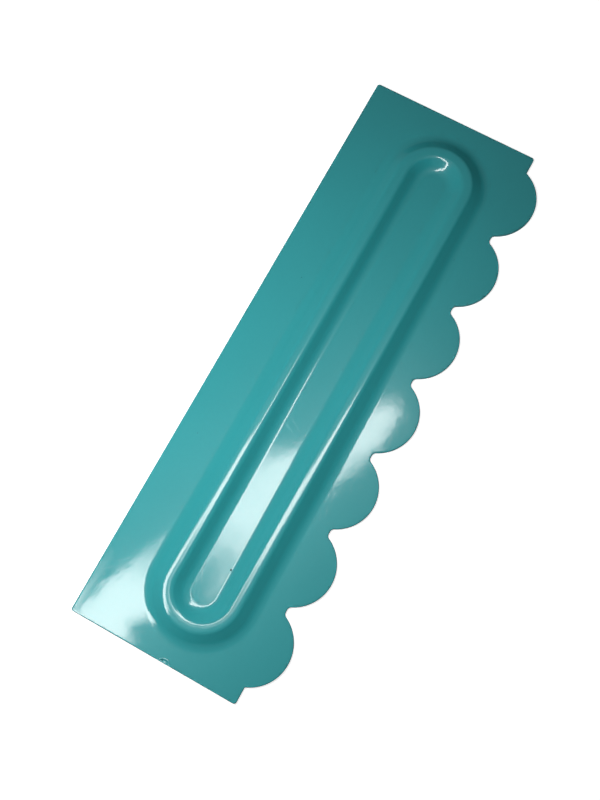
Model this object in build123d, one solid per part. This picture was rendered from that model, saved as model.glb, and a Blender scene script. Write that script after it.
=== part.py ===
from build123d import *
import os
from math import radians, tan

# Icing smoother: one thin plastic moulding. Its straight edge smooths icing, its scalloped edge
# combs it, and a raised oval ring on its upper face is what the fingers hold.
#
# Frame: X runs along the plate, +Y points at the straight edge and -Y at the scallops, +Z is the
# side with the ring. The origin is the middle of the whole outline, on the plane the plate lies on.

# Plate
plate_length = 228.0
overall_width = 76.0
wall = 1.5
corner_radius = 1.0
edge_rounding = 0.3

# Scalloped edge: full rows of equal arcs, with a short flat tab left at each end
scallop_count = 7
scallop_pitch = 31.1
scallop_radius = 15.2
scallop_depth = 9.4
root_radius = 1.6
tab_root_radius = 0.5

# Raised ring, measured over the middle line of its crest. Each flank leaves the plate in a wide
# hollow, climbs at its slope (degrees) and turns over a shoulder on to the narrow crest.
ring_length = 197.6
ring_width = 25.8
ring_height = 3.2
ring_offset = 0.0
crest_width = 1.6
inner_slope = 37
outer_slope = 33
inner_foot_radius = 6.5
outer_foot_radius = 7.2
inner_shoulder_radius = 3.5
outer_shoulder_radius = 2.6

# Trimmed gate: a shallow dish at the middle of one short end
gate_radius = 2.9
gate_depth = 0.2
gate_outset = 1.0

# Overrun of a shape past the face that it cuts or runs into
overrun = 1.0

half_turn = 180

straight_edge_y = overall_width / 2
scallop_tip_y = -overall_width / 2
scallop_base_y = scallop_tip_y + scallop_depth
base_width = overall_width - scallop_depth


def plate_outline():
    """The plate seen from above: a rectangle with a row of scallops along one long side."""
    base = Pos(0, (straight_edge_y + scallop_base_y) / 2) * Rectangle(plate_length, base_width)
    corners = base.vertices()
    outline = base
    row = scallop_pitch * (scallop_count - 1)
    for index in range(scallop_count):
        centre_x = index * scallop_pitch - row / 2
        outline += Pos(centre_x, scallop_tip_y + scallop_radius) * Circle(scallop_radius)
    on_base_line = [v for v in outline.vertices() if abs(v.Y - scallop_base_y) < corner_radius / 2]
    on_base_line.sort(key=lambda v: v.X)
    tab_roots = [on_base_line[1], on_base_line[-2]]
    roots = on_base_line[2:-2]
    outline = fillet(roots, root_radius)
    tab_roots = [nearest_vertex(outline, v) for v in tab_roots]
    outline = fillet(tab_roots, tab_root_radius)
    return fillet([nearest_vertex(outline, v) for v in corners], corner_radius)


def nearest_vertex(shape, place):
    """The vertex of a shape that lies nearest to an older vertex."""
    return min(shape.vertices(), key=lambda v: (Vector(*v) - Vector(*place)).length)


def rounded_plate():
    """The plate with both its outer edges eased, before the ring is raised on it."""
    plate = extrude(plate_outline(), wall)
    rims = plate.edges().group_by(Axis.Z)
    return fillet(rims[0] + rims[-1], edge_rounding)


def ring_section(inset, closing_z):
    """Section of the ring's upper skin moved in by an inset, closed by a flat bottom."""
    foot_z = wall - inset
    crest_z = foot_z + ring_height
    inner = flank(inner_slope, inner_foot_radius, inner_shoulder_radius, inset)
    outer = flank(outer_slope, outer_foot_radius, outer_shoulder_radius, inset)
    outline = Polyline(
        (-inner["reach"], closing_z),
        (-inner["reach"], foot_z),
        (-inner["foot"], foot_z),
        (-inner["crest"], crest_z),
        (outer["crest"], crest_z),
        (outer["foot"], foot_z),
        (outer["reach"], foot_z),
        (outer["reach"], closing_z),
        close=True,
    )
    section = make_face(outline)
    for side, way in ((inner, -1), (outer, 1)):
        foot = Vertex(way * side["foot"], foot_z)
        crest = Vertex(way * side["crest"], crest_z)
        section = fillet(nearest_vertex(section, foot), side["foot_radius"])
        section = fillet(nearest_vertex(section, crest), side["shoulder_radius"])
    return section


def flank(slope, foot_radius, shoulder_radius, inset):
    """Distances from the crest's middle to a flank's corners and to just past its hollow."""
    half_turn_share = tan(radians(slope) / 2)
    crest = crest_width / 2 + (shoulder_radius - inset) * half_turn_share
    foot = crest + ring_height / tan(radians(slope))
    return {
        "crest": crest,
        "foot": foot,
        "reach": foot + (foot_radius + inset) * half_turn_share + overrun,
        "foot_radius": foot_radius + inset,
        "shoulder_radius": shoulder_radius - inset,
    }


def round_the_ring(section):
    """Carry a section, drawn with +X outwards and +Y up, once round the ring."""
    turn_radius = ring_width / 2
    straight = ring_length - ring_width
    pieces = []
    for side in (-1, 1):
        turn_x = side * straight / 2
        start_y = ring_offset - side * turn_radius
        start = Plane((turn_x, start_y, 0), x_dir=(0, -side, 0), z_dir=(-side, 0, 0))
        turn_axis = Axis((turn_x, ring_offset, 0), (0, 0, 1))
        pieces.append(extrude(start * section, straight))
        pieces.append(revolve(start * section, turn_axis, half_turn))
    return Part() + pieces


def gate_mark():
    """The disc that dishes the end of the plate where the gate was trimmed."""
    depth = gate_depth + overrun
    centre = Pos(-plate_length / 2 - gate_outset, ring_offset, wall - gate_depth + depth / 2)
    return centre * Cylinder(gate_radius, depth)


def smoother_blade():
    """The whole moulding, with a groove under the ring that keeps it one wall thick."""
    blade = rounded_plate() + round_the_ring(ring_section(0, 0))
    blade -= round_the_ring(ring_section(wall, -overrun))
    return blade - gate_mark()


os.makedirs("parts", exist_ok=True)
export_step(smoother_blade(), "parts/smoother_blade.step")
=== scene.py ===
from math import cos, pi, radians, sin
from types import SimpleNamespace

import bpy
from mathutils import Matrix, Vector


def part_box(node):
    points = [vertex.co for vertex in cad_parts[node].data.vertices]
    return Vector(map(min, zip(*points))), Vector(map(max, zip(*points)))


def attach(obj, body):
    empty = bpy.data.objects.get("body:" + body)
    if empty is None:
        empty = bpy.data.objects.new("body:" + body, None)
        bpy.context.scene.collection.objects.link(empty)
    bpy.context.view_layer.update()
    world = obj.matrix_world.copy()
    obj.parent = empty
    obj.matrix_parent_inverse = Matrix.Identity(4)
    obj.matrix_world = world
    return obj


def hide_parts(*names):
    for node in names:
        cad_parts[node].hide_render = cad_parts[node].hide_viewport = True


# Icing smoother: one thin teal plastic moulding that lies on a pale floor, ring side up.
# Everything is in metres in the frame of the solid part: X runs along the plate, +Y points at the
# straight edge, -Y at the scallops, and +Z is the side with the ring.

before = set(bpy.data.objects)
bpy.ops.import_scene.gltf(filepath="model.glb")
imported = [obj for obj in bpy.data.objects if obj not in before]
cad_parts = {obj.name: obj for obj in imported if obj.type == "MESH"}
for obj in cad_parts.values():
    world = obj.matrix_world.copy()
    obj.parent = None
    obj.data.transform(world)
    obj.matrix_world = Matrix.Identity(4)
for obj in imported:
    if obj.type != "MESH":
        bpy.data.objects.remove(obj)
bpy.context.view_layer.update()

MM = 0.001
BLADE = "smoother_blade"

# Plate. Its outline fills the solid part's box.
low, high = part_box(BLADE)
plate_length = high.x - low.x
straight_edge_y = high.y
scallop_tip_y = low.y
wall = 1.5 * MM
ring_height = high.z - wall
corner_radius = 1.0 * MM
edge_rounding = 0.3 * MM

# Scalloped edge
scallop_count = 7
scallop_pitch = 31.1 * MM
scallop_radius = 15.2 * MM
scallop_depth = 9.4 * MM
root_radius = 1.6 * MM
tab_root_radius = 0.5 * MM

# Raised ring: the middle line of its crest, then the section across it. The crest falls a little
# from its middle to both sides.
ring_length = 197.6 * MM
ring_width = 25.8 * MM
crest_width = 1.6 * MM
inner_crest_fall = radians(2.2)
outer_crest_fall = radians(0.6)
crest_crown_radius = 14.0 * MM
inner_slope = radians(37)
outer_slope = radians(33)
inner_foot_radius = 6.5 * MM
outer_foot_radius = 7.2 * MM
inner_shoulder_radius = 3.5 * MM
outer_shoulder_radius = 2.6 * MM

# Gate mark: a shallow dish with raised beads in it, cut by one short end
gate_radius = 2.9 * MM
gate_depth = 0.2 * MM
gate_outset = 1.0 * MM
gate_bead_height = 0.12 * MM
gate_bead_pitch = 1.3 * MM

# How finely curves are divided
scallop_points = 97
small_arc_points = 15
ring_turn_points = 220
ring_run_spacing = 4.0 * MM
section_bend_points = 12
rim_bend_points = 4
gate_points = 96
gate_fill_rings = 28
flat_margin = 0.3 * MM
weld_distance = 0.002 * MM
crease_angle = radians(28)


class Number:
    """A value inside a node tree that can be written in sums."""

    def __init__(self, nodes, socket):
        self.nodes = nodes
        self.socket = socket

    def __add__(self, other):
        return self.nodes.math("ADD", self, other)

    def __radd__(self, other):
        return self.nodes.math("ADD", other, self)

    def __sub__(self, other):
        return self.nodes.math("SUBTRACT", self, other)

    def __rsub__(self, other):
        return self.nodes.math("SUBTRACT", other, self)

    def __mul__(self, other):
        return self.nodes.math("MULTIPLY", self, other)

    def __rmul__(self, other):
        return self.nodes.math("MULTIPLY", other, self)

    def __truediv__(self, other):
        return self.nodes.math("DIVIDE", self, other)

    def __rtruediv__(self, other):
        return self.nodes.math("DIVIDE", other, self)

    def __neg__(self):
        return self.nodes.math("MULTIPLY", self, -1.0)


class Nodes:
    """Short calls that add nodes to a geometry or shader tree."""

    def __init__(self, tree):
        self.tree = tree

    def add(self, kind, inputs=None, output=0, **settings):
        """Add a node with its settings and inputs, and give one of its outputs."""
        node = self.tree.nodes.new(kind)
        for name, value in settings.items():
            setattr(node, name, value)
        for place, value in (inputs or {}).items():
            self.feed(node.inputs[place], value)
        return Number(self, node.outputs[output])

    def feed(self, socket, value):
        if isinstance(value, Number):
            self.tree.links.new(value.socket, socket)
        else:
            socket.default_value = value

    def math(self, operation, first, second=0.0, third=0.0):
        inputs = {0: first, 1: second, 2: third}
        return self.add("ShaderNodeMath", inputs, operation=operation)

    def point(self, x=0.0, y=0.0, z=0.0):
        return self.add("ShaderNodeCombineXYZ", {0: x, 1: y, 2: z})

    def parts(self, vector):
        """The three numbers of a vector."""
        node = self.tree.nodes.new("ShaderNodeSeparateXYZ")
        self.feed(node.inputs[0], vector)
        return [Number(self, output) for output in node.outputs]

    def both(self, first, second):
        inputs = {0: first, 1: second}
        return self.add("FunctionNodeBooleanMath", inputs, operation="AND")

    def less(self, first, second):
        inputs = {0: first, 1: second}
        return self.add("FunctionNodeCompare", inputs, data_type="FLOAT", operation="LESS_THAN")

    def ramp(self, value, start, end, low=0.0, high=1.0):
        """An eased step from one level to another as a value goes from start to end."""
        inputs = {0: value, 1: start, 2: end, 3: low, 4: high}
        return self.add("ShaderNodeMapRange", inputs, interpolation_type="SMOOTHSTEP")

    def surface(self, shader):
        self.feed(self.tree.nodes.new("ShaderNodeOutputMaterial").inputs["Surface"], shader)


class Shape(Nodes):
    """A geometry node tree with named inputs for its sizes."""

    def __init__(self, name):
        super().__init__(bpy.data.node_groups.new(name, "GeometryNodeTree"))
        self.tree.is_modifier = True
        self.entry = self.tree.nodes.new("NodeGroupInput")
        self.values = {}

    def size(self, name, value, kind="NodeSocketFloat"):
        """A named input, with the value that the modifier gives it."""
        socket = self.tree.interface.new_socket(name, in_out="INPUT", socket_type=kind)
        self.values[socket.identifier] = value
        return Number(self, self.entry.outputs[name])

    def count(self, name, value):
        return self.size(name, value, "NodeSocketInt")

    def join(self, *pieces):
        node = self.tree.nodes.new("GeometryNodeJoinGeometry")
        for piece in pieces:
            self.tree.links.new(piece.socket, node.inputs[0])
        return Number(self, node.outputs[0])

    def move(self, geometry, offset):
        return self.add("GeometryNodeSetPosition", {"Geometry": geometry, "Offset": offset})

    def line(self, start, end):
        return self.add("GeometryNodeCurvePrimitiveLine", {"Start": start, "End": end})

    def arc(self, points, radius, start, sweep, centre):
        inputs = {
            "Resolution": points,
            "Radius": radius,
            "Start Angle": start,
            "Sweep Angle": sweep,
        }
        return self.move(self.add("GeometryNodeCurveArc", inputs, mode="RADIUS"), centre)

    def mirror_x(self, geometry):
        inputs = {"Geometry": geometry, "Scale": (-1.0, 1.0, 1.0)}
        return self.add("GeometryNodeTransform", inputs)

    def row(self, geometry, count, pitch):
        """Copies of a curve in a row along X, centred on the origin."""
        inputs = {
            "Count": count,
            "Start Location": self.point((1 - count) * pitch / 2),
            "Offset": self.point(pitch),
        }
        places = self.add("GeometryNodeMeshLine", inputs, mode="OFFSET")
        inputs = {"Points": places, "Instance": geometry}
        copies = self.add("GeometryNodeInstanceOnPoints", inputs)
        return self.add("GeometryNodeRealizeInstances", {0: copies})

    def weld(self, geometry, distance):
        inputs = {"Geometry": geometry, "Distance": distance}
        return self.add("GeometryNodeMergeByDistance", inputs)

    def pick(self, choices, kind):
        """A different value at each point along a curve, in order."""
        node = self.tree.nodes.new("GeometryNodeIndexSwitch")
        node.data_type = kind
        while len(node.index_switch_items) < len(choices):
            node.index_switch_items.new()
        self.feed(node.inputs[0], self.add("GeometryNodeInputIndex"))
        for place, choice in enumerate(choices):
            self.feed(node.inputs[place + 1], choice)
        return Number(self, node.outputs[0])

    def section(self, corners, bends, bend_points):
        """A section with each corner (outwards, up) rounded by its bend."""
        line = self.line((0.0, 0.0, 0.0), (1.0, 0.0, 0.0))
        inputs = {"Curve": line, "Count": len(corners)}
        line = self.add("GeometryNodeResampleCurve", inputs)
        places = self.pick([self.point(x, -z) for x, z in corners], "VECTOR")
        inputs = {"Geometry": line, "Position": places}
        line = self.add("GeometryNodeSetPosition", inputs)
        inputs = {"Curve": line, "Radius": self.pick(bends, "FLOAT"), "Count": bend_points}
        return self.add("GeometryNodeFilletCurve", inputs, mode="POLY")

    def sweep(self, path, section):
        """The skin that a section leaves round a level path, facing up where it runs outwards."""
        path = self.add("GeometryNodeSetCurveNormal", {"Curve": path}, mode="Z_UP")
        return self.add("GeometryNodeCurveToMesh", {"Curve": path, "Profile Curve": section})

    def rims(self, skin, inside=None):
        """The free edges of a skin as curves: all, or only those where a test holds."""
        chosen = self.less(self.add("GeometryNodeInputMeshEdgeNeighbors"), 2)
        if inside is not None:
            chosen = self.both(chosen, inside)
        inputs = {"Mesh": skin, "Selection": chosen}
        return self.add("GeometryNodeMeshToCurve", inputs)

    def flat(self, outline, height):
        """Flat faces between level curves, facing up."""
        faces = self.add("GeometryNodeFillCurve", {"Curve": outline}, mode="TRIANGLES")
        return self.move(faces, self.point(0.0, 0.0, height))

    def turn_over(self, geometry):
        return self.add("GeometryNodeFlipFaces", {"Mesh": geometry})

    def finish(self, geometry, material):
        geometry = self.add("GeometryNodeRealizeInstances", {0: geometry})
        geometry = self.add(
            "GeometryNodeSetMaterial", {"Geometry": geometry, "Material": material}
        )
        self.tree.interface.new_socket(
            "Geometry", in_out="OUTPUT", socket_type="NodeSocketGeometry"
        )
        self.tree.links.new(geometry.socket, self.tree.nodes.new("NodeGroupOutput").inputs[0])


def blade_sizes(shape):
    """The blade's named inputs."""
    return SimpleNamespace(
        length=shape.size("Plate length", plate_length),
        top=shape.size("Straight edge Y", straight_edge_y),
        tip=shape.size("Scallop tip Y", scallop_tip_y),
        wall=shape.size("Wall", wall),
        corner=shape.size("Corner radius", corner_radius),
        rounding=shape.size("Edge rounding", edge_rounding),
        scallops=shape.count("Scallop count", scallop_count),
        pitch=shape.size("Scallop pitch", scallop_pitch),
        scallop=shape.size("Scallop radius", scallop_radius),
        depth=shape.size("Scallop depth", scallop_depth),
        root=shape.size("Root radius", root_radius),
        tab_root=shape.size("Tab root radius", tab_root_radius),
        ring_length=shape.size("Ring length", ring_length),
        ring_width=shape.size("Ring width", ring_width),
        ring_height=shape.size("Ring height", ring_height),
        crest=shape.size("Crest width", crest_width),
        crown=shape.size("Crest crown radius", crest_crown_radius),
        inner=SimpleNamespace(
            slope=shape.size("Inner slope", inner_slope),
            fall=shape.size("Inner crest fall", inner_crest_fall),
            foot=shape.size("Inner foot radius", inner_foot_radius),
            shoulder=shape.size("Inner shoulder radius", inner_shoulder_radius),
        ),
        outer=SimpleNamespace(
            slope=shape.size("Outer slope", outer_slope),
            fall=shape.size("Outer crest fall", outer_crest_fall),
            foot=shape.size("Outer foot radius", outer_foot_radius),
            shoulder=shape.size("Outer shoulder radius", outer_shoulder_radius),
        ),
        gate=shape.size("Gate radius", gate_radius),
        gate_depth=shape.size("Gate depth", gate_depth),
        gate_outset=shape.size("Gate outset", gate_outset),
        gate_bead=shape.size("Gate bead height", gate_bead_height),
        gate_pitch=shape.size("Gate bead pitch", gate_bead_pitch),
        scallop_points=shape.count("Scallop points", scallop_points),
        arc_points=shape.count("Small arc points", small_arc_points),
        turn_points=shape.count("Ring turn points", ring_turn_points),
        run_spacing=shape.size("Ring run spacing", ring_run_spacing),
    )


def root_bend(shape, s, radius):
    """A root's bend, from its scallop's middle: how far across and down, and at what angle."""
    down = s.depth - radius - s.scallop
    reach = s.scallop + radius
    across = shape.math("SQRT", reach * reach - down * down)
    return across, down, shape.math("ARCTAN2", down, across)


def plate_outline(shape, s):
    """The plate's outline: a row of scallops, the roots between them, and two equal ends."""
    base = s.tip + s.depth
    middle = s.tip + s.scallop
    last = (s.scallops - 1) * s.pitch / 2
    end = s.length / 2
    point = shape.point

    across, down, angle = root_bend(shape, s, s.root)
    sweep = pi + 2 * angle
    scallop = shape.arc(s.scallop_points, s.scallop, -pi - angle, sweep, point(0.0, middle))

    half_flat = s.pitch / 2 - across
    bend = pi / 2 + angle
    bend_y = middle + down
    root = shape.join(
        shape.arc(s.arc_points, s.root, pi / 2, bend, point(-half_flat, bend_y)),
        shape.line(point(-half_flat, base), point(half_flat, base)),
        shape.arc(s.arc_points, s.root, -angle, bend, point(half_flat, bend_y)),
    )

    across, down, tab_angle = root_bend(shape, s, s.tab_root)
    tab_bend = pi / 2 + tab_angle
    tab_start = last + across
    tab_end = end - s.corner
    corners = [point(tab_end, base + s.corner), point(tab_end, s.top - s.corner)]
    end_half = shape.join(
        shape.arc(s.arc_points, s.scallop, angle, tab_angle - angle, point(last, middle)),
        shape.arc(s.arc_points, s.tab_root, pi / 2, tab_bend, point(tab_start, middle + down)),
        shape.line(point(tab_start, base), point(tab_end, base)),
        shape.arc(s.arc_points, s.corner, -pi / 2, pi / 2, corners[0]),
        shape.line(point(end, base + s.corner), point(end, s.top - s.corner)),
        shape.arc(s.arc_points, s.corner, 0.0, pi / 2, corners[1]),
        shape.line(point(tab_end, s.top), point(0.0, s.top)),
    )
    return closed_curve(
        shape,
        shape.join(
            shape.row(scallop, s.scallops, s.pitch),
            shape.row(root, s.scallops - 1, s.pitch),
            end_half,
            shape.mirror_x(end_half),
        ),
    )


def closed_curve(shape, pieces):
    """Curve pieces that meet end to end, as one curve that runs anticlockwise."""
    wire = shape.add("GeometryNodeCurveToMesh", {"Curve": pieces})
    wire = shape.weld(wire, weld_distance)
    curve = shape.add("GeometryNodeMeshToCurve", {"Mesh": wire})
    x, y, _ = shape.parts(shape.add("GeometryNodeInputPosition"))
    along_x, along_y, _ = shape.parts(shape.add("GeometryNodeInputTangent"))
    turning = x * along_y - y * along_x
    inputs = {"Geometry": curve, "Attribute": turning}
    mean_turning = shape.add("GeometryNodeAttributeStatistic", inputs)
    inputs = {"Curve": curve, "Selection": shape.less(mean_turning, 0.0)}
    return shape.add("GeometryNodeReverseCurve", inputs)


def ring_path(shape, s):
    """The middle line of the ring's crest: a circle pulled apart into two turns and two runs."""
    inputs = {"Resolution": s.turn_points, "Radius": s.ring_width / 2}
    path = shape.add("GeometryNodeCurvePrimitiveCircle", inputs, mode="RADIUS")
    half_step = shape.point(0.0, 0.0, pi / s.turn_points)
    half_step = shape.add("FunctionNodeEulerToRotation", {0: half_step})
    inputs = {"Geometry": path, "Rotation": half_step}
    path = shape.add("GeometryNodeTransform", inputs)
    position = shape.add("GeometryNodeInputPosition")
    x, _, _ = shape.parts(position)
    side = shape.math("SIGN", x)
    path = shape.move(path, shape.point(side * (s.ring_length - s.ring_width) / 2))
    index = shape.add("GeometryNodeInputIndex")
    inputs = {"Value": position, "Index": shape.math("MODULO", index + 1, s.turn_points)}
    after = shape.add("GeometryNodeFieldAtIndex", inputs, data_type="FLOAT_VECTOR", domain="POINT")
    run = shape.add("ShaderNodeVectorMath", {0: position, 1: after}, 1, operation="DISTANCE")
    inputs = {"Curve": path, "Cuts": shape.math("FLOOR", run / s.run_spacing)}
    return shape.add("GeometryNodeSubdivideCurve", inputs)


def flank(shape, s, side, inset, falls):
    """Corners and bends of one side of the ring, measured outwards from the crest's middle."""
    fall = shape.math("TANGENT", side.fall) if falls else 0.0
    half_turn = shape.math("TANGENT", side.slope / 2)
    steepness = shape.math("TANGENT", side.slope)
    level_corner = s.crest / 2 + (side.shoulder - inset) * half_turn
    foot = level_corner + s.ring_height / steepness
    crest = level_corner * steepness / (steepness - fall)
    reach = foot + (side.foot + inset) * half_turn + flat_margin
    return SimpleNamespace(
        crest=crest,
        drop=crest * fall,
        foot=foot,
        reach=reach,
        foot_bend=side.foot + inset,
        shoulder_bend=side.shoulder - inset,
    )


def ring_section(shape, s, inset, crown):
    """Section of the ring's skin moved in by an inset. A crowned crest falls from its middle."""
    inner = flank(shape, s, s.inner, inset, crown is not None)
    outer = flank(shape, s, s.outer, inset, crown is not None)
    foot_z = s.wall - inset
    crest_z = foot_z + s.ring_height
    corners = [
        (-inner.reach, foot_z),
        (-inner.foot, foot_z),
        (-inner.crest, crest_z - inner.drop),
        (0.0, crest_z),
        (outer.crest, crest_z - outer.drop),
        (outer.foot, foot_z),
        (outer.reach, foot_z),
    ]
    bends = [
        0.0,
        inner.foot_bend,
        inner.shoulder_bend,
        crown or 0.0,
        outer.shoulder_bend,
        outer.foot_bend,
        0.0,
    ]
    return shape.section(corners, bends, section_bend_points)


def rim_section(shape, s):
    """Section of the plate's edge, with a narrow flat margin above and below."""
    inner = -(s.rounding + flat_margin)
    corners = [(inner, s.wall), (0.0, s.wall), (0.0, 0.0), (inner, 0.0)]
    return shape.section(corners, [0.0, s.rounding, s.rounding, 0.0], rim_bend_points)


def gate_cutter(shape, s):
    """The disc that dishes the end of the plate, with raised beads left in the dish's floor."""
    inputs = {
        "Vertices": gate_points,
        "Side Segments": 1,
        "Fill Segments": gate_fill_rings,
        "Radius": s.gate,
        "Depth": 2 * s.gate_depth,
    }
    disc = shape.add("GeometryNodeMeshCylinder", inputs, fill_type="TRIANGLE_FAN")
    x, y, z = shape.parts(shape.add("GeometryNodeInputPosition"))
    distance = shape.math("SQRT", x * x + y * y)
    wave = shape.math("COSINE", distance * (2 * pi) / s.gate_pitch)
    bead = (wave + 1) * s.gate_bead / 2
    inputs = {
        "Geometry": disc,
        "Selection": shape.less(z, 0.0),
        "Offset": shape.point(0.0, 0.0, bead),
    }
    disc = shape.add("GeometryNodeSetPosition", inputs)
    return shape.move(disc, shape.point(-s.length / 2 - s.gate_outset, 0.0, s.wall))


def blade_mesh(material):
    """The whole moulding as one closed skin of even wall."""
    shape = Shape("smoother_blade_shape")
    s = blade_sizes(shape)
    material = shape.size("Material", material, "NodeSocketMaterial")

    path = ring_path(shape, s)
    upper = shape.sweep(path, ring_section(shape, s, 0.0, s.crown))
    groove = shape.turn_over(shape.sweep(path, ring_section(shape, s, s.wall, None)))
    rim = shape.sweep(plate_outline(shape, s), rim_section(shape, s))

    x, y, z = shape.parts(shape.add("GeometryNodeInputPosition"))
    near_x = shape.less(shape.math("ABSOLUTE", x), s.ring_length / 2)
    near_y = shape.less(shape.math("ABSOLUTE", y), s.ring_width / 2)
    inside = shape.both(near_x, near_y)
    outside = shape.add("FunctionNodeBooleanMath", {0: inside}, operation="NOT")
    below = shape.less(z, s.wall / 2)
    above = shape.less(s.wall / 2, z)

    faces = [
        shape.flat(shape.rims(upper, inside), s.wall),
        shape.flat(shape.join(shape.rims(upper, outside), shape.rims(rim, above)), s.wall),
        shape.turn_over(shape.flat(shape.rims(groove, inside), 0.0)),
        shape.turn_over(
            shape.flat(shape.join(shape.rims(groove, outside), shape.rims(rim, below)), 0.0)
        ),
    ]
    blade = shape.weld(shape.join(upper, groove, rim, *faces), weld_distance)
    inputs = {"Mesh 1": blade, "Mesh 2": gate_cutter(shape, s)}
    blade = shape.add("GeometryNodeMeshBoolean", inputs, operation="DIFFERENCE", solver="EXACT")
    blade = shape.add("GeometryNodeSetShadeSmooth", {"Geometry": blade}, domain="FACE")
    creased = shape.less(crease_angle, shape.add("GeometryNodeInputMeshEdgeAngle"))
    inputs = {"Geometry": blade, "Selection": creased, "Shade Smooth": False}
    blade = shape.add("GeometryNodeSetShadeSmooth", inputs, domain="EDGE")
    shape.finish(blade, material)
    return shape


def plain_object(name, shape):
    """The mesh that a shape gives, as an object of its own with no modifier."""
    carrier = bpy.data.objects.new(name + "_carrier", bpy.data.meshes.new(name + "_carrier"))
    bpy.context.scene.collection.objects.link(carrier)
    modifier = carrier.modifiers.new(name, "NODES")
    modifier.node_group = shape.tree
    for identifier, value in shape.values.items():
        modifier[identifier] = value
    graph = bpy.context.evaluated_depsgraph_get()
    mesh = bpy.data.meshes.new_from_object(carrier.evaluated_get(graph))
    bpy.data.objects.remove(carrier)
    mesh.name = name
    piece = bpy.data.objects.new(name, mesh)
    bpy.context.scene.collection.objects.link(piece)
    return piece


# Finish of the plastic
teal = (0.036, 0.37, 0.397)
plastic_ior = 1.5
plastic_roughness = 0.06
plastic_gloss = 0.5

# The cut rim is duller than the faces, and its colour is darkened there as painted shade. It is
# told by its depth under the upper face (mm) and by how little it faces up or down.
rim_painted_shade = 0.66
rim_gloss = 0.15
rim_roughness = 0.3
rim_depth = 0.06
rim_facing = (0.995, 0.9)

# Noises in the plastic: how fine (per mm), how much detail, and how far they swing. The first two
# change the colour's level, the next three the height of the skin (mm), and the last the gloss.
blotches = (0.02, 2.0, 0.10)
mottle = (0.9, 3.0, 0.05)
long_waves = (0.045, 1.0, 0.05)
short_waves = (0.22, 2.0, 0.018)
grain = (1.1, 2.0, 0.0024)
gloss_drift = (0.12, 3.0, 0.03)

# Marks of use, in millimetres of the part's frame: dark specks (place, radius), and scuffs (start,
# end, width) in the gloss
specks = [
    ((-74.8, -4.6), 0.42),
    ((-113.2, 1.0), 0.34),
    ((-14.6, -29.6), 0.3),
    ((31.5, 26.0), 0.16),
    ((-38.0, 30.5), 0.14),
    ((64.0, -20.5), 0.15),
]
scuffs = [
    ((-22.0, -1.0), (-18.5, 7.0), 0.35),
    ((-20.5, -2.5), (-15.5, 5.5), 0.22),
    ((-16.0, -29.5), (-12.5, -27.2), 0.5),
    ((-99.0, -21.0), (-84.0, -24.5), 0.18),
    ((18.0, 27.0), (39.0, 21.5), 0.16),
    ((52.0, 31.0), (60.0, 23.5), 0.2),
    ((71.0, -24.0), (83.0, -18.5), 0.18),
    ((26.0, 3.5), (47.0, -1.5), 0.16),
]
speck_color = (0.012, 0.03, 0.03)
speck_depth = 0.05
speck_roughness = 0.4
scuff_depth = 0.004
scuff_roughness = 0.16

# Shares of a scuff's length, from its middle, where it has ended and where it is full
stroke_fade = (0.5, 0.2)

# Hairline scratches: two runs, each with its angle and how close its lines lie (per mm)
scratch_runs = ((radians(24), 2.6), (radians(-51), 2.1))
scratch_band = (0.66, 0.76)
scratch_depth = 0.0016
scratch_stretch = 22.0

# Floor, which glows for the camera and for mirrors so that it looks white to them
floor_size = 8.0
floor_drop = 0.02 * MM
floor_white = 0.8
floor_glow = 0.85

# Camera, in millimetres of the part's frame
camera_place = (-86.86, -60.01, 423.20)
camera_right = (0.48498, -0.87344, -0.04348)
camera_down = (-0.85619, -0.46410, -0.22705)
camera_forward = (0.17814, 0.14734, -0.97291)
camera_sensor = 36.0
camera_lens = 53.904
camera_clip = (0.01, 50.0)

# Lamp: a long level panel with soft sides. Each station crosses it, and gives the four places (mm)
# in the plate's face where its left edge, left shoulder, right shoulder and right edge are
# mirrored, and how bright the panel is between the shoulders. The side lamp is a narrow strip
# beside its bright end.
lamp_height = 215.0
side_lamp_height = 214.0
lamp_radiance = 15.0
lamp_tint = (1.0, 0.95, 0.93, 1.0)
lamp_cloud_scale = 0.11
lamp_cloud_depth = 0.7
lamp_cloud_detail = 3.0
lamp_shares = (0.0, 1.0, 1.0, 0.0)
lamp_stations = [
    ((-175, 46), (-175, 50), (-175, 60), (-175, 64), 0.5),
    ((-145, 33), (-145, 38), (-145, 51), (-145, 54), 1.0),
    ((-112.6, 10.5), (-112.7, 19.0), (-113.2, 34.1), (-112.8, 35.3), 1.0),
    ((-108.5, 14.5), (-108.5, 21.0), (-103.6, 32.0), (-102.9, 33.6), 1.0),
    ((-99.8, 6.3), (-102.2, 14.8), (-95.8, 28.4), (-93.8, 31.0), 1.0),
    ((-97, 6), (-90, 11), (-92, 21.5), (-77, 24.5), 0.87),
    ((-83, 5), (-56, 5), (-42, 5), (-24, 5), 0.87),
    ((-100, -4), (-55, -4), (-31, -4), (-21, -4), 0.9),
    ((-92, -12), (-56, -12), (-16, -12), (-7, -12), 0.88),
    ((-42, -20), (-18, -20), (-6, -20), (6, -20), 0.85),
    ((-30, -25), (-12, -25), (-1, -25), (10, -25), 0.9),
    ((-21, -28.5), (-7, -28.5), (1, -28.5), (11, -28.5), 0.8),
    ((-15, -31.8), (-7, -31.8), (0, -31.8), (8, -31.8), 0.0),
]
side_lamp_stations = [
    ((-116, 36.2), (-116, 37.0), (-116, 39.4), (-116, 39.8), 0.7),
    ((-108, 35.4), (-108, 36.2), (-108, 38.8), (-108, 39.4), 0.6),
    ((-99, 35.2), (-99, 36.2), (-99, 37.4), (-99, 38.6), 0.3),
    ((-88, 33.6), (-88, 35.0), (-88, 37.0), (-88, 38.4), 0.0),
]

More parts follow.
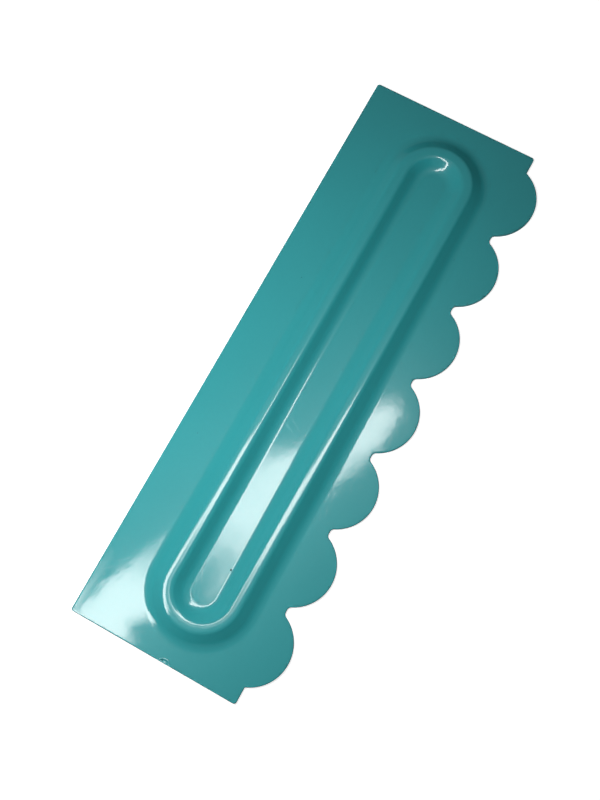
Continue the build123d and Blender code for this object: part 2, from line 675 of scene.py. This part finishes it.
# Glow round the lamp, which fades away from the lamp's middle line
glow_height = 217.0
glow_reach = 20.0
glow_level = 2.2
glow_rest = 0.2
glow_start = (-125.0, 30.0)
glow_end = (0.0, -25.0)
glow_left, glow_right = -300.0, 260.0
glow_low, glow_high = -110.0, 260.0

# Soft light from above that gives the colour its level
fill_place = (-59.0, 68.0, 192.0)
fill_size = (200.0, 60.0)
fill_power = 0.45
fill_turn = radians(-24)

# Low dark card beyond the ring's far end, which only reflections show: its two ends and its height
card_ends = ((234.0, -21.0), (147.0, 137.0))
card_height = 16.0
card_shade = 0.02

# Room, by how steeply it is looked up at (the sine of the angle). Its haze is on the +Y side only.
world_level = 0.02
horizon_level = 0.85
horizon_band = (0.06, 0.075)
haze_level = 0.25
haze_band = (0.2, 0.55)
haze_side = (-0.2, 0.6)


def emptied(owner):
    """Short calls for the emptied node tree of a material or a world."""
    owner.use_nodes = True
    owner.node_tree.nodes.clear()
    return Nodes(owner.node_tree)


def spot(nodes, x, y, place, radius):
    """One inside a round spot, falling to nought at its rim."""
    across, along = x - place[0], y - place[1]
    distance = nodes.math("SQRT", across * across + along * along)
    return nodes.ramp(distance, radius, radius / 2)


def stroke(nodes, x, y, start, end, width):
    """One along the middle of a straight stroke, fading to its sides and its ends."""
    run = Vector(end) - Vector(start)
    way = run.normalized()
    across, along = x - start[0], y - start[1]
    share = (across * way.x + along * way.y) / run.length
    offset = nodes.math("ABSOLUTE", along * way.x - across * way.y)
    ends = nodes.ramp(nodes.math("ABSOLUTE", share - 0.5), *stroke_fade)
    return nodes.ramp(offset, width, 0.0) * ends


def plastic_material():
    """Glossy teal plastic with a duller rim darkened by painted shade, an uneven skin and the marks
    of use.
    """
    material = bpy.data.materials.new("teal_plastic")
    nodes = emptied(material)
    place = nodes.add("ShaderNodeTexCoord", output="Object")
    inputs = {0: place, "Scale": 1.0 / MM}
    place = nodes.add("ShaderNodeVectorMath", inputs, operation="SCALE")
    x, y, z = nodes.parts(place)

    def noise(scale, detail, vector=place):
        inputs = {"Vector": vector, "Scale": scale, "Detail": detail}
        return nodes.add("ShaderNodeTexNoise", inputs)

    def swing(scale, detail, depth):
        """A noise about nought."""
        return (noise(scale, detail) - 0.5) * depth

    def scratches(angle, pitch):
        """Fine straight lines that lie at an angle and come and go along their length."""
        way = Vector((cos(angle), sin(angle)))
        across = (y * way.x - x * way.y) * pitch
        along = (x * way.x + y * way.y) * pitch / scratch_stretch
        line = noise(1.0, 1.0, vector=nodes.point(across, along))
        return nodes.ramp(line, *scratch_band)

    speck = 0.0
    for centre, radius in specks:
        speck = nodes.math("MAXIMUM", speck, spot(nodes, x, y, centre, radius))
    scuff = 0.0
    for start, end, width in scuffs:
        scuff = nodes.math("MAXIMUM", scuff, stroke(nodes, x, y, start, end, width))
    scratch = nodes.math("MAXIMUM", *(scratches(*run) for run in scratch_runs))

    normal = nodes.add("ShaderNodeNewGeometry", output="Normal")
    facing = nodes.math("ABSOLUTE", nodes.parts(normal)[2])
    top = wall / MM
    rim = nodes.ramp(z, top, top - rim_depth) * nodes.ramp(facing, *rim_facing)

    shade = swing(*blotches) + swing(*mottle) + 1.0
    # Painted shade: the rim's colour is made darker than the faces.
    shade = shade * (1.0 - rim * (1.0 - rim_painted_shade))
    color = nodes.add("ShaderNodeVectorMath", {0: teal, "Scale": shade}, operation="SCALE")
    inputs = {"Factor": speck, "A": color, "B": speck_color}
    color = nodes.add("ShaderNodeMix", inputs, 1, data_type="VECTOR")

    waves = swing(*long_waves) + swing(*short_waves)
    fine = swing(*grain) - scratch * scratch_depth
    marks = speck * speck_depth + scuff * scuff_depth
    inputs = {"Strength": 1.0, "Distance": 1.0 * MM, "Height": waves + fine - marks}
    bump = nodes.add("ShaderNodeBump", inputs)

    roughness = swing(*gloss_drift) + plastic_roughness + scuff * scuff_roughness
    roughness = roughness + speck * speck_roughness + rim * rim_roughness
    inputs = {
        "Base Color": color,
        "Roughness": roughness,
        "IOR": plastic_ior,
        "Specular IOR Level": (plastic_gloss - rim * (plastic_gloss - rim_gloss)) * (1.0 - speck),
        "Normal": bump,
    }
    nodes.surface(nodes.add("ShaderNodeBsdfPrincipled", inputs))
    return material


def floor_material():
    """A pale floor that a camera or a mirror sees as white, with the shadow kept."""
    material = bpy.data.materials.new("white_floor")
    nodes = emptied(material)
    white = (floor_white, floor_white, floor_white, 1.0)
    matt = nodes.add("ShaderNodeBsdfDiffuse", {"Color": white})
    path = nodes.tree.nodes.new("ShaderNodeLightPath")
    seen = 0.0
    for ray in ("Is Camera Ray", "Is Glossy Ray", "Is Transmission Ray"):
        seen = nodes.math("MAXIMUM", seen, Number(nodes, path.outputs[ray]))
    glow = nodes.add("ShaderNodeEmission", {"Strength": seen * floor_glow})
    nodes.surface(nodes.add("ShaderNodeAddShader", {0: matt, 1: glow}))
    return material


def lamp_material():
    """Light that is full between the lamp's shoulders, eased at its edges, in a wide glow."""
    material = bpy.data.materials.new("lamp")
    nodes = emptied(material)
    share = nodes.add("ShaderNodeAttribute", output="Fac", attribute_name="share")
    level = nodes.add("ShaderNodeAttribute", output="Fac", attribute_name="level")
    seen = nodes.add("ShaderNodeAttribute", output="Vector", attribute_name="seen")
    inputs = {"Vector": seen, "Scale": lamp_cloud_scale, "Detail": lamp_cloud_detail}
    cloud = nodes.add("ShaderNodeTexNoise", inputs)
    share = nodes.ramp(share + (cloud - 0.5) * lamp_cloud_depth, 0.0, 1.0)
    lamp = share * level * lamp_radiance

    start = Vector((*glow_start, 0.0))
    line = Vector((*glow_end, 0.0)) - start
    across, along, _ = nodes.parts(seen)
    across, along = across - start.x, along - start.y
    share = (across * line.x + along * line.y) / line.length_squared
    share = nodes.math("MINIMUM", nodes.math("MAXIMUM", share, 0.0), 1.0)
    across, along = across - share * line.x, along - share * line.y
    distance = nodes.math("SQRT", across * across + along * along)
    glow = nodes.math("EXPONENT", distance / -glow_reach) * glow_level + glow_rest

    inputs = {"Color": lamp_tint, "Strength": lamp + glow}
    nodes.surface(nodes.add("ShaderNodeEmission", inputs))
    return material


def mesh_object(name, corners, faces, material):
    """An object with the given corners, in millimetres."""
    mesh = bpy.data.meshes.new(name)
    mesh.from_pydata([Vector(corner) * MM for corner in corners], [], faces)
    mesh.materials.append(material)
    piece = bpy.data.objects.new(name, mesh)
    bpy.context.scene.collection.objects.link(piece)
    return piece


def mirrored(seen, height):
    """The place at a height above the plate that is mirrored at a place in the plate's face."""
    face = Vector((seen[0], seen[1], wall / MM))
    ray = face - Vector(camera_place)
    ray *= height / -ray.z
    return (face.x + ray.x, face.y + ray.y, face.z + height)


def show_in_reflections_only(piece):
    """Hide an object from the camera, and let it neither light nor shade anything matt."""
    piece.visible_camera = False
    piece.visible_diffuse = False
    piece.visible_shadow = False


def panel(name, height, seen, faces, material, shares, levels):
    """Level faces that only reflections show, each corner with its place and its light."""
    corners = [mirrored(place, height) for place in seen]
    piece = mesh_object(name, corners, faces, material)
    show_in_reflections_only(piece)
    for label, values in (("share", shares), ("level", levels)):
        piece.data.attributes.new(label, "FLOAT", "POINT").data.foreach_set("value", values)
    values = [number for place in seen for number in (*place, 0.0)]
    attribute = piece.data.attributes.new("seen", "FLOAT_VECTOR", "POINT")
    attribute.data.foreach_set("vector", values)
    return piece


def lamp_panel(name, height, stations, material):
    """A strip of faces, four corners wide, that runs through the stations."""
    seen = []
    shares = []
    levels = []
    for *across, level in stations:
        seen += across
        shares += lamp_shares
        levels += [level] * len(across)
    faces = []
    row = len(lamp_shares)
    for station in range(len(stations) - 1):
        for lane in range(row - 1):
            first = row * station + lane
            faces.append((first, first + 1, first + 1 + row, first + row))
    return panel(name, height, seen, faces, material, shares, levels)


def glow_panel(material):
    """One wide face just above the lamps."""
    seen = [
        (glow_left, glow_low),
        (glow_right, glow_low),
        (glow_right, glow_high),
        (glow_left, glow_high),
    ]
    dark = [0.0] * len(seen)
    return panel("glow_panel", glow_height, seen, [(0, 1, 2, 3)], material, dark, dark)


def dark_card():
    """A low card that the ring's far end mirrors in place of the white floor."""
    material = bpy.data.materials.new("dark_card")
    nodes = emptied(material)
    shade = (card_shade, card_shade, card_shade, 1.0)
    nodes.surface(nodes.add("ShaderNodeBsdfDiffuse", {"Color": shade}))
    start, end = card_ends
    corners = [(*start, 0.0), (*end, 0.0), (*end, card_height), (*start, card_height)]
    card = mesh_object("dark_card", corners, [(0, 1, 2, 3)], material)
    show_in_reflections_only(card)
    return card


def fill_light():
    """The soft light, which no reflection shows."""
    data = bpy.data.lights.new("fill", "AREA")
    data.shape = "RECTANGLE"
    data.size, data.size_y = (length * MM for length in fill_size)
    data.energy = fill_power
    lamp = bpy.data.objects.new("fill", data)
    bpy.context.scene.collection.objects.link(lamp)
    lamp.location = Vector(fill_place) * MM
    lamp.rotation_euler = (0.0, 0.0, fill_turn)
    lamp.visible_glossy = False


def surroundings():
    """A dim room, pale at the horizon where it meets the floor."""
    world = bpy.data.worlds.new("world")
    nodes = emptied(world)
    _, side, up = nodes.parts(nodes.add("ShaderNodeTexCoord", output="Generated"))
    haze = nodes.ramp(up, *haze_band, haze_level, 0.0) * nodes.ramp(side, *haze_side)
    horizon = nodes.ramp(up, *horizon_band, horizon_level, 0.0)
    level = nodes.math("MAXIMUM", horizon, haze) + world_level
    background = nodes.add("ShaderNodeBackground", {"Strength": level})
    nodes.feed(nodes.tree.nodes.new("ShaderNodeOutputWorld").inputs["Surface"], background)
    bpy.context.scene.world = world


def camera():
    """The camera at the photograph's viewpoint."""
    data = bpy.data.cameras.new("camera")
    data.sensor_fit = "VERTICAL"
    data.sensor_height = camera_sensor
    data.lens = camera_lens
    data.clip_start, data.clip_end = camera_clip
    lens = bpy.data.objects.new("camera", data)
    bpy.context.scene.collection.objects.link(lens)
    axes = [Vector(camera_right), -Vector(camera_down), -Vector(camera_forward)]
    turn = Matrix(axes).transposed().to_4x4()
    lens.matrix_world = Matrix.Translation(Vector(camera_place) * MM) @ turn
    bpy.context.scene.camera = lens


blade = plain_object(BLADE, blade_mesh(plastic_material()))
blade.name = "blade"
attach(blade, "root")
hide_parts(BLADE)

half = floor_size / 2 / MM
drop = -floor_drop / MM
ground = [(-half, -half, drop), (half, -half, drop), (half, half, drop), (-half, half, drop)]
floor = mesh_object("floor", ground, [(0, 1, 2, 3)], floor_material())
lamp = lamp_material()
lamp_panel("lamp_panel", lamp_height, lamp_stations, lamp)
lamp_panel("side_lamp_panel", side_lamp_height, side_lamp_stations, lamp)
glow_panel(lamp)
dark_card()
fill_light()
camera()
surroundings()
bpy.context.scene.view_settings.view_transform = "Standard"
